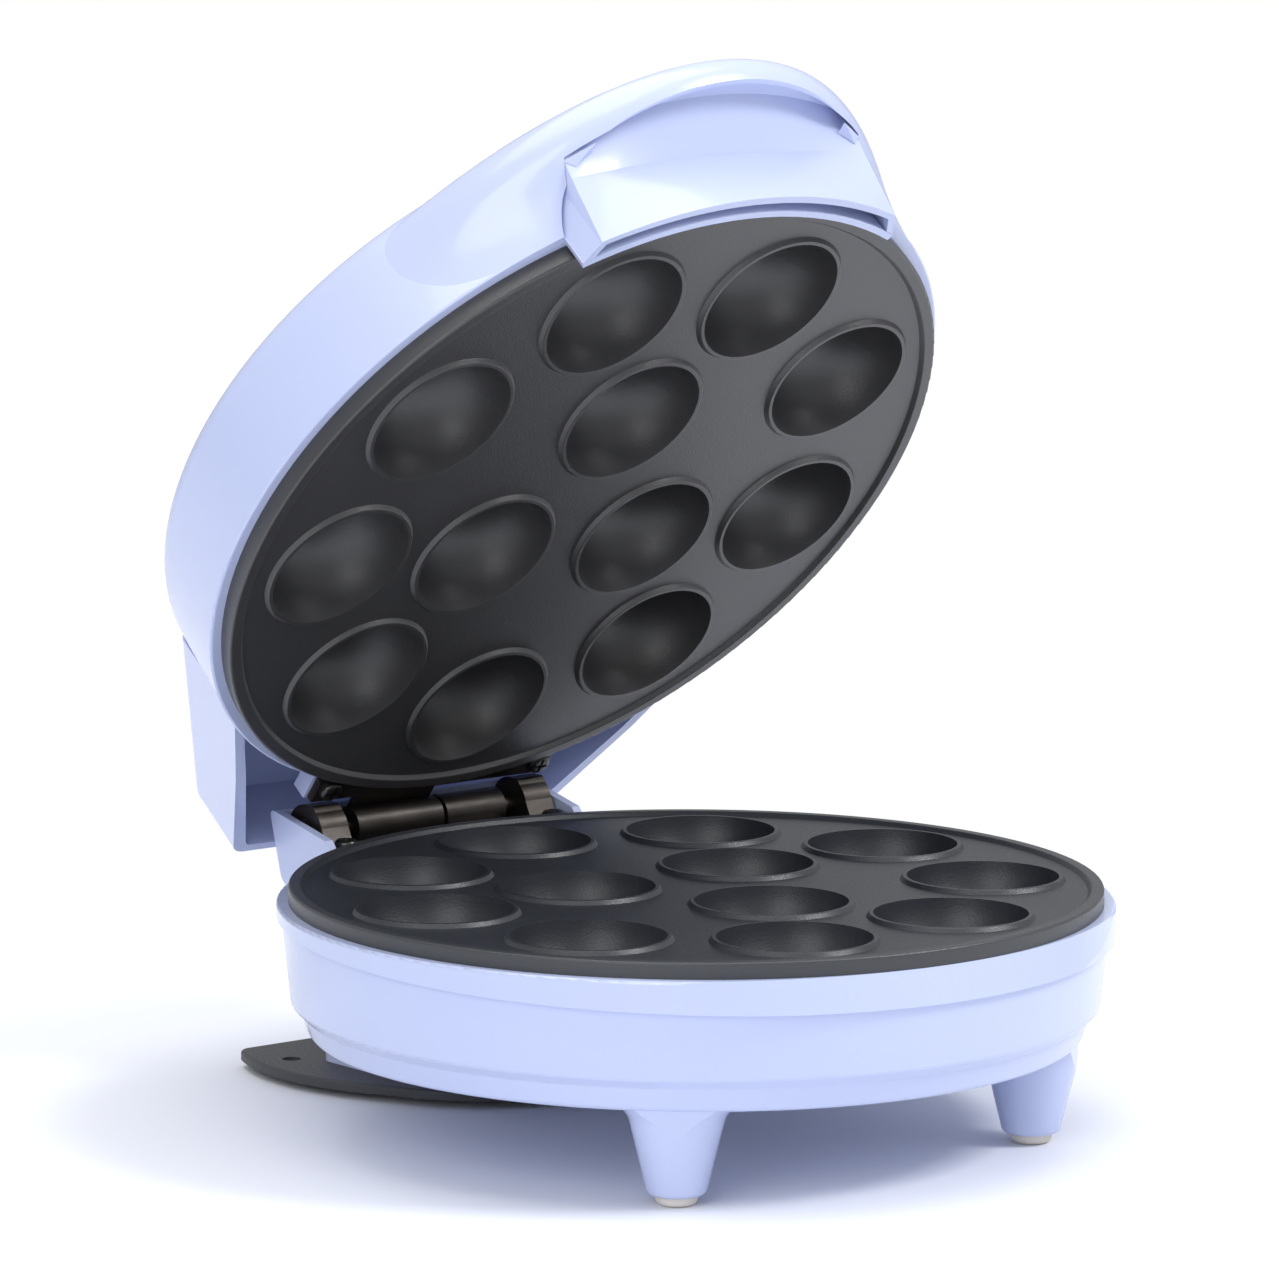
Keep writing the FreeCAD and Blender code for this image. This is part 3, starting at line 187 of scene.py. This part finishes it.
soft_light("overhead_softbox", (-0.05, 0.1, 1.0), 1.5, 1.5, 16)
soft_light("key_softbox", (0.453, -0.585, 0.677), 1.5, 0.42, 12)
soft_light("left_softbox", (-0.9, -0.5, 0.45), 1.8, 1.2, 11)

# %% [markdown]
# Two effects turn up in almost every finish: a fine grain that the mould or the
# coating leaves, and a slow drift of tone that keeps a large face from looking
# painted. Each is a node group that works on a piece's own coordinates.


# %% Shared effects
NOISE_LOW = 0.3                 # nearly all of a noise's values lie between these two
NOISE_HIGH = 0.7
FINE_OVER_COARSE = 2.7          # how many times finer the tooth is than the pimples


def new_group(name, inputs, outputs):
    """Empty shader group with named sockets. Returns it with its input and output nodes."""
    group = bpy.data.node_groups.new(name, "ShaderNodeTree")
    for label, kind, value in inputs:
        socket = group.interface.new_socket(label, in_out="INPUT", socket_type=kind)
        if value is not None:
            socket.default_value = value
    for label, kind in outputs:
        group.interface.new_socket(label, in_out="OUTPUT", socket_type=kind)
    enter = group.nodes.new("NodeGroupInput")
    leave = group.nodes.new("NodeGroupOutput")
    return group, enter, leave


def build_grain():
    """Height from two sizes of noise: a coarse one for pimples, a fine one for tooth."""
    group, enter, leave = new_group(
        "fine_grain",
        [("Vector", "NodeSocketVector", None), ("Size", "NodeSocketFloat", 1500.0),
         ("Fine Share", "NodeSocketFloat", 0.4)],
        [("Height", "NodeSocketFloat")])
    coarse = group.nodes.new("ShaderNodeTexNoise")
    coarse.inputs["Detail"].default_value = 2.0
    fine = group.nodes.new("ShaderNodeTexNoise")
    fine.inputs["Detail"].default_value = 1.0
    finer = group.nodes.new("ShaderNodeMath")
    finer.operation = "MULTIPLY"
    finer.inputs[1].default_value = FINE_OVER_COARSE
    blend = group.nodes.new("ShaderNodeMix")
    join = group.links.new
    join(enter.outputs["Vector"], coarse.inputs["Vector"])
    join(enter.outputs["Vector"], fine.inputs["Vector"])
    join(enter.outputs["Size"], coarse.inputs["Scale"])
    join(enter.outputs["Size"], finer.inputs[0])
    join(finer.outputs[0], fine.inputs["Scale"])
    join(enter.outputs["Fine Share"], blend.inputs["Factor"])
    join(coarse.outputs["Fac"], blend.inputs["A"])
    join(fine.outputs["Fac"], blend.inputs["B"])
    join(blend.outputs["Result"], leave.inputs["Height"])
    return group


def build_drift():
    """Slow noise that mixes two close tones."""
    group, enter, leave = new_group(
        "tone_drift",
        [("Vector", "NodeSocketVector", None), ("Size", "NodeSocketFloat", 14.0),
         ("Tone A", "NodeSocketColor", None), ("Tone B", "NodeSocketColor", None)],
        [("Color", "NodeSocketColor")])
    slow = group.nodes.new("ShaderNodeTexNoise")
    slow.inputs["Detail"].default_value = 3.0
    spread = group.nodes.new("ShaderNodeMapRange")
    spread.inputs["From Min"].default_value = NOISE_LOW
    spread.inputs["From Max"].default_value = NOISE_HIGH
    blend = group.nodes.new("ShaderNodeMix")
    blend.data_type = "RGBA"
    join = group.links.new
    join(enter.outputs["Vector"], slow.inputs["Vector"])
    join(enter.outputs["Size"], slow.inputs["Scale"])
    join(slow.outputs["Fac"], spread.inputs["Value"])
    join(spread.outputs["Result"], blend.inputs["Factor"])
    join(enter.outputs["Tone A"], blend.inputs["A"])
    join(enter.outputs["Tone B"], blend.inputs["B"])
    join(blend.outputs["Result"], leave.inputs["Color"])
    return group


grain_group = build_grain()
drift_group = build_drift()
print("groups:", [g.name for g in bpy.data.node_groups])

# %% [markdown]
# Most finishes share one build: two close tones, a roughness that drifts between two
# limits with the grain, and a bump from the grain's height. One function makes it, and
# each finish gives its own numbers. A stretch makes the grain long in one direction,
# as on brushed or drawn metal.


# %% A finish from tones, gloss and grain
def finish(name, tone_a, tone_b, gloss, grain_size, bump_depth, metal=0.0, coat=0.0,
           coat_rough=0.1, specular=0.5, stretch=(1, 1, 1), fine_share=0.4, drift_size=14.0):
    """Principled material: tones from drift, roughness and bump from grain."""
    paint = bpy.data.materials.new(name)
    paint.use_nodes = True
    nodes = paint.node_tree.nodes
    join = paint.node_tree.links.new
    shader = nodes["Principled BSDF"]
    shader.inputs["Metallic"].default_value = metal
    shader.inputs["Coat Weight"].default_value = coat
    shader.inputs["Coat Roughness"].default_value = coat_rough
    shader.inputs["Specular IOR Level"].default_value = specular
    where = nodes.new("ShaderNodeTexCoord")
    along = nodes.new("ShaderNodeMapping")
    along.inputs["Scale"].default_value = stretch
    grain = nodes.new("ShaderNodeGroup")
    grain.node_tree = grain_group
    grain.inputs["Size"].default_value = grain_size
    grain.inputs["Fine Share"].default_value = fine_share
    drift = nodes.new("ShaderNodeGroup")
    drift.node_tree = drift_group
    drift.inputs["Size"].default_value = drift_size
    drift.inputs["Tone A"].default_value = (*tone_a, 1)
    drift.inputs["Tone B"].default_value = (*tone_b, 1)
    rough = nodes.new("ShaderNodeMapRange")
    rough.inputs["From Min"].default_value = NOISE_LOW
    rough.inputs["From Max"].default_value = NOISE_HIGH
    rough.inputs["To Min"].default_value = gloss[0]
    rough.inputs["To Max"].default_value = gloss[1]
    bump = nodes.new("ShaderNodeBump")
    bump.inputs["Strength"].default_value = 1.0
    bump.inputs["Distance"].default_value = bump_depth
    join(where.outputs["Object"], along.inputs["Vector"])
    join(along.outputs["Vector"], grain.inputs["Vector"])
    join(where.outputs["Object"], drift.inputs["Vector"])
    join(drift.outputs["Color"], shader.inputs["Base Color"])
    join(grain.outputs["Height"], rough.inputs["Value"])
    join(rough.outputs["Result"], shader.inputs["Roughness"])
    join(grain.outputs["Height"], bump.inputs["Height"])
    join(bump.outputs["Normal"], shader.inputs["Normal"])
    return paint


def dress(paint, *names):
    """Put a finish into every slot of the named pieces."""
    for name in names:
        for slot in frame["nodes"][name].material_slots:
            slot.material = paint


# %% [markdown]
# ## Lavender plastic
# The housings are glossy ABS, coloured through. A mould this smooth still leaves a
# very faint waviness, which is what breaks up the reflections of the lights.

# %% Lavender plastic
lavender = finish("lavender_plastic", (0.475, 0.535, 0.775), (0.495, 0.555, 0.795),
                  gloss=(0.20, 0.27), grain_size=420.0, bump_depth=0.000004, coat=0.35,
                  coat_rough=0.06, drift_size=9.0)
dress(lavender, "base_housing", "lid_housing", "handle_insert")
print("made", lavender.name)

# %% [markdown]
# ## Non-stick coating
# The plates are cast aluminium with a sprayed coating. It is nearly black, with a
# grain like fine sandpaper that turns any bright light into a wide grey bloom. Both plates
# wear the same coating, given as a shaded copy and a lit copy: the upper plate's darker
# tones are painted shade, and the lower plate's lighter, bluer tones are a painted reflection
# of the surround. Past the cooking face, the raised edge and the side of each plate are a
# lighter grey. Their mask is the distance from the plate's own axis, so the upper plate's
# coordinates are first taken back to the closed lid.

# %% Non-stick coating
EDGE_BLEND = 0.0008             # width over which the face's tone turns into the edge's

# Painted shade: the upper plate's coating is given darker tones than the lower plate's.
coating = finish("non_stick_coating", (0.0060, 0.0062, 0.0066), (0.0095, 0.0092, 0.0092),
                 gloss=(0.29, 0.42), grain_size=1500.0, bump_depth=0.00010, specular=0.75,
                 fine_share=0.5, drift_size=25.0)
dress(coating, "upper_cooking_plate")
# Painted reflection: the lower plate's lighter, bluer tones stand in for the bright surround it
# reflects.
lit_coating = finish("lit_non_stick_coating", (0.016, 0.019, 0.026), (0.022, 0.025, 0.033),
                      gloss=(0.33, 0.48), grain_size=1500.0, bump_depth=0.00010, specular=0.6,
                      fine_share=0.5, drift_size=25.0)
dress(lit_coating, "lower_cooking_plate")


def grey_edge(paint, to_plate, tone):
    """Lighter tone beyond the cooking face, by distance from the plate's own axis."""
    nodes = paint.node_tree.nodes
    join = paint.node_tree.links.new
    shader = nodes["Principled BSDF"]
    face_tone = shader.inputs["Base Color"].links[0].from_socket
    where = nodes.new("ShaderNodeTexCoord")
    move = nodes.new("ShaderNodeMapping")
    move.inputs["Location"].default_value = to_plate.to_translation()
    move.inputs["Rotation"].default_value = to_plate.to_euler()
    flat = nodes.new("ShaderNodeVectorMath")
    flat.operation = "MULTIPLY"
    flat.inputs[1].default_value = (1, 1, 0)
    reach = nodes.new("ShaderNodeVectorMath")
    reach.operation = "LENGTH"
    mask = nodes.new("ShaderNodeMapRange")
    mask.inputs["From Min"].default_value = PLATE_RADIUS - BEAD_WIDTH
    mask.inputs["From Max"].default_value = PLATE_RADIUS - BEAD_WIDTH + EDGE_BLEND
    blend = nodes.new("ShaderNodeMix")
    blend.data_type = "RGBA"
    blend.inputs["B"].default_value = (*tone, 1)
    join(where.outputs["Object"], move.inputs["Vector"])
    join(move.outputs["Vector"], flat.inputs[0])
    join(flat.outputs["Vector"], reach.inputs[0])
    join(reach.outputs["Value"], mask.inputs["Value"])
    join(mask.outputs["Result"], blend.inputs["Factor"])
    join(face_tone, blend.inputs["A"])
    join(blend.outputs["Result"], shader.inputs["Base Color"])


grey_edge(coating, lid_place.inverted(), (0.034, 0.034, 0.036))
grey_edge(lit_coating, Matrix.Translation(-plate_middle), (0.034, 0.037, 0.043))
print("made", coating.name, "and", lit_coating.name)

# %% [markdown]
# ## Metals of the hinge
# The brackets are dark stamped steel. The knuckles were rolled and show drawn lines
# along the pin, and oil leaves them browner on the real hinge. One finish covers brackets
# and pin alike. Its tone drifts slowly between near-black and a browner dark, and its grain
# is drawn long along the pin.

# %% Hinge metals
hinge_steel = finish("dark_hinge_steel", (0.040, 0.036, 0.034), (0.075, 0.066, 0.060),
                     gloss=(0.28, 0.5), grain_size=700.0, bump_depth=0.00002, metal=0.9,
                     stretch=(0.15, 1, 1), drift_size=60.0)
dress(hinge_steel, "base_hinge_bracket", "lid_hinge_bracket", "hinge_pin")

zinc = finish("zinc_plate", (0.50, 0.49, 0.46), (0.62, 0.61, 0.58), gloss=(0.22, 0.4),
              grain_size=900.0, bump_depth=0.00001, metal=1.0, drift_size=120.0)
dress(zinc, "wrap_plate_screws", "lower_plate_screws", "lower_reflector_screws",
      "upper_reflector_screws", "upper_plate_clips")
dark_screw = finish("dark_screw", (0.05, 0.05, 0.05), (0.09, 0.088, 0.085), gloss=(0.25, 0.4),
                    grain_size=900.0, bump_depth=0.00001, metal=0.9, drift_size=120.0)
dress(dark_screw, "base_hinge_screws", "lid_hinge_screws")
print("made", hinge_steel.name, zinc.name, dark_screw.name)

# %% [markdown]
# ## Dark plastic, rubber and the inner parts
# The cord-wrap plate has the matte leather-like texture of moulded feet and covers.
# The foot buttons are cream rubber. The inner parts only show when a maker takes the
# machine apart, but each still gets its own finish.

# %% Small finishes
dark_plastic = finish("dark_textured_plastic", (0.040, 0.041, 0.046), (0.052, 0.053, 0.058),
                      gloss=(0.42, 0.6), grain_size=1100.0, bump_depth=0.00006,
                      fine_share=0.2, drift_size=20.0)
dress(dark_plastic, "cord_wrap_plate", "cord_gland")
cream_rubber = finish("cream_rubber", (0.68, 0.64, 0.58), (0.74, 0.70, 0.65),
                      gloss=(0.55, 0.7), grain_size=1300.0, bump_depth=0.00003, drift_size=80.0)
dress(cream_rubber, "front_feet", "rear_feet")
heater_sheath = finish("oxidised_sheath", (0.10, 0.095, 0.09), (0.16, 0.15, 0.14),
                       gloss=(0.4, 0.6), grain_size=700.0, bump_depth=0.00002, metal=0.8)
dress(heater_sheath, "lower_heating_element", "upper_heating_element")
mill_sheet = finish("mill_aluminium", (0.62, 0.62, 0.63), (0.70, 0.70, 0.71),
                    gloss=(0.25, 0.45), grain_size=500.0, bump_depth=0.00001, metal=1.0,
                    stretch=(1, 0.1, 1))
dress(mill_sheet, "lower_heat_reflector", "upper_heat_reflector")
phenolic = finish("phenolic", (0.09, 0.045, 0.022), (0.12, 0.06, 0.03), gloss=(0.4, 0.55),
                  grain_size=900.0, bump_depth=0.00002)
dress(phenolic, "thermostat")
ceramic_white = finish("ceramic_white", (0.72, 0.70, 0.66), (0.78, 0.76, 0.72),
                       gloss=(0.3, 0.45), grain_size=900.0, bump_depth=0.00001)
dress(ceramic_white, "thermal_fuse", "terminal_block")
glass_braid = finish("glass_braid", (0.60, 0.58, 0.54), (0.72, 0.70, 0.66), gloss=(0.6, 0.8),
                     grain_size=2200.0, bump_depth=0.00008)
dress(glass_braid, "supply_leads", "element_leads", "lid_leads")
board_green = finish("board_green", (0.03, 0.09, 0.03), (0.04, 0.12, 0.04),
                     gloss=(0.25, 0.35), grain_size=600.0, bump_depth=0.00001)
dress(board_green, "lamp_board")
red_lens = finish("red_lens", (0.42, 0.012, 0.008), (0.5, 0.02, 0.012), gloss=(0.05, 0.1),
                  grain_size=500.0, bump_depth=0.000003, coat=1.0, coat_rough=0.03)
dress(red_lens, "power_lamp_lens")
green_lens = finish("green_lens", (0.03, 0.32, 0.05), (0.04, 0.38, 0.07), gloss=(0.05, 0.1),
                    grain_size=500.0, bump_depth=0.000003, coat=1.0, coat_rough=0.03)
dress(green_lens, "ready_lamp_lens")
print("materials in the scene:", len(bpy.data.materials))
